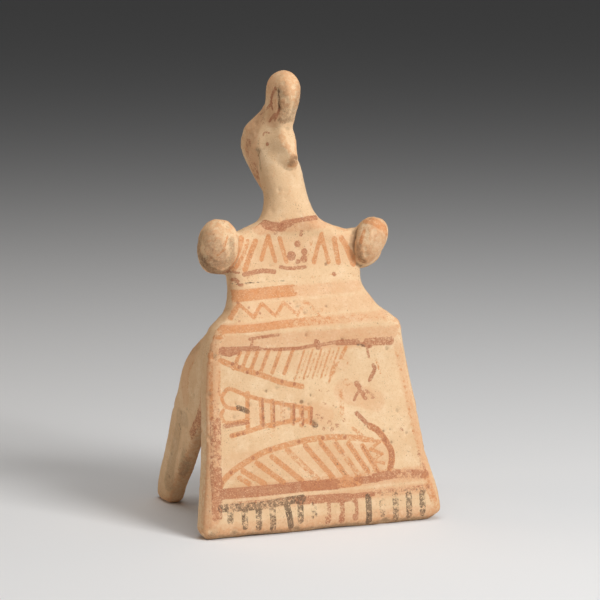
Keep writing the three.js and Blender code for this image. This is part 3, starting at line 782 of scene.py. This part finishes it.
def terracotta():
    n = Nodes("terracotta")
    tint = clay_colour(n)
    tint = n.mix(stain_cover(n, "wash", 21.0), tint, WASH)
    thin = n.step(n.noise(3.0, 6.0, 0.7, 6.0), 0.3, 0.7, 0.65, 0.98)
    thick = n.step(n.noise(0.9, 7.0, 0.8, 18.0), 0.48, 0.64)
    paints = (
        ("orange", ORANGE, ORANGE_DEEP, 7.0),
        ("red", RED, RED_DEEP, 9.0),
        ("dark", DARK, DARK_DEEP, 11.0),
    )
    for name, pigment, deep, seed in paints:
        cover = n.maths("MULTIPLY", paint_cover(n, name, seed), thin)
        tint = n.mix(cover, tint, n.mix(thick, pigment, deep))
    # Soil on the beak's end, and painted shade in brown under the arms, under the roll and on the fins.
    tint = n.mix(stain_cover(n, "soil_and_shade", 24.0), tint, SOIL_AND_SHADE)
    n.link(tint, n.shader.inputs["Base Color"])
    n.shader.inputs["Specular IOR Level"].default_value = 0.25
    n.link(n.step(n.noise(2.5, 4.0, 0.6, 13.0), 0.3, 0.7, 0.78, 0.94), n.shader.inputs["Roughness"])
    grain = n.maths("MULTIPLY", n.noise(0.8, 7.0, 0.75, 14.0), 0.18)
    pores = n.maths("MULTIPLY", n.step(n.cells(1.3), 0.0, 0.25), 0.10)
    bump = n.add("ShaderNodeBump")
    bump.inputs["Strength"].default_value = 1.0
    bump.inputs["Distance"].default_value = MM
    n.link(n.maths("ADD", grain, pores), bump.inputs["Height"])
    n.link(bump.outputs["Normal"], n.shader.inputs["Normal"])
    return n.material


def plain(name, tint, roughness):
    n = Nodes(name)
    n.shader.inputs["Base Color"].default_value = tint
    n.shader.inputs["Roughness"].default_value = roughness
    n.shader.inputs["Specular IOR Level"].default_value = 0.2
    return n.material


# Floor, lights and camera

def floor():
    reach = 12.0
    sheet = bpy.data.meshes.new("floor")
    corners = [(-reach, -reach, 0), (reach, -reach, 0), (reach, reach, 0), (-reach, reach, 0)]
    sheet.from_pydata(corners, [], [(0, 1, 2, 3)])
    ground = bpy.data.objects.new("floor", sheet)
    bpy.context.scene.collection.objects.link(ground)
    sheet.materials.append(plain("floor_grey", colour(0.78, 0.78, 0.78), 0.9))


def direction(azimuth, elevation):
    """From the object towards a place seen at that azimuth (0 in front, 90 to the right) and elevation."""
    a, e = math.radians(azimuth), math.radians(elevation)
    return Vector((math.sin(a) * math.cos(e), -math.cos(a) * math.cos(e), math.sin(e)))


def lamp(name, azimuth, elevation, distance, size, power, tint=(1.0, 1.0, 1.0)):
    """A square soft light that faces the figure."""
    light = bpy.data.lights.new(name, "AREA")
    light.size = size
    light.energy = power
    light.color = tint
    holder = bpy.data.objects.new(name, light)
    aim = Vector((0, 0, HEIGHT * 0.4 * MM))
    away = direction(azimuth, elevation)
    holder.location = aim + away * distance
    holder.rotation_mode = "QUATERNION"
    holder.rotation_quaternion = away.to_track_quat("Z", "Y")
    bpy.context.scene.collection.objects.link(holder)


def studio():
    floor()
    lamp("key", 26.0, 32.0, 1.3, 0.50, 14.0)
    lamp("overhead", 0.0, 80.0, 1.0, 0.8, 5.0)
    lamp("fill", -112.0, 14.0, 1.1, 0.7, 2.6, (1.0, 0.84, 0.68))
    world = bpy.data.worlds.new("studio")
    world.use_nodes = True
    world.node_tree.nodes["Background"].inputs["Color"].default_value = colour(1.0, 1.0, 1.0)
    world.node_tree.nodes["Background"].inputs["Strength"].default_value = 0.05
    bpy.context.scene.world = world
    bpy.context.scene.view_settings.view_transform = "Standard"


def camera():
    data = bpy.data.cameras.new("camera")
    focal_pixels = PIXELS_PER_MM * VIEW_DISTANCE
    data.lens = SENSOR * focal_pixels / IMAGE_SIZE
    data.sensor_width = SENSOR
    data.shift_x = (IMAGE_SIZE / 2 - TARGET_PIXEL[0]) / IMAGE_SIZE
    data.shift_y = (TARGET_PIXEL[1] - IMAGE_SIZE / 2) / IMAGE_SIZE
    holder = bpy.data.objects.new("camera", data)
    away = direction(VIEW_AZIMUTH, VIEW_ELEVATION)
    holder.location = (Vector(VIEW_TARGET) + away * VIEW_DISTANCE) * MM
    holder.rotation_mode = "QUATERNION"
    holder.rotation_quaternion = (-away).to_track_quat("-Z", "Y")
    bpy.context.scene.collection.objects.link(holder)
    bpy.context.scene.camera = holder


def statuette():
    body = clay_body()
    skin = Skin(body)
    to_beak = np.linalg.norm(skin.points - np.array(BEAK_MIDDLE), axis=1)
    crisp = smooth_step((1.0 - to_beak / BEAK_REACH) * 1.6)
    skin.even_out(SOFTENING_ROUNDS, 1.0 - 0.85 * crisp)
    for side in (-1, 1):
        skin.rub_down((HEAD_MIDDLE_X + side * 9.0, 2.0, 151.0), 7.5, 40)
        skin.rub_down((HEAD_MIDDLE_X + side * 8.0, 4.0, 166.0), 8.0, 40)
    skin.update()
    washes()
    soil_and_painted_shade()
    necklace()
    chest_strokes()
    girdle()
    knee_line()
    panel_border()
    upper_wing()
    middle_figure()
    lower_wing()
    hem_bands()
    sleeve_paint()
    head_paint()
    fin_paint()
    lay_paint(skin)
    known_hollows()
    scattered_hollows(skin)
    skin.points = skin.points + skin.normals * relief(skin)[:, None]
    low = np.array(CAD_BOX[0]) / MM
    high = np.array(CAD_BOX[1]) / MM
    skin.points = np.clip(skin.points, low, high)
    skin.update()
    # How far each point lies below its neighbours: the material darkens sunk places as painted shade and
    # wears standing edges through to the core.
    smooth = skin.points
    for _ in range(10):
        smooth = skin.spread(smooth)
    sunk = ((smooth - skin.points) * skin.normals).sum(axis=1)
    skin.keep("hollow_shade", sunk)
    skin.keep("edge", -sunk)
    body.data.materials.append(terracotta())
    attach(body, "root")
    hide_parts("statuette")


statuette()
studio()
camera()
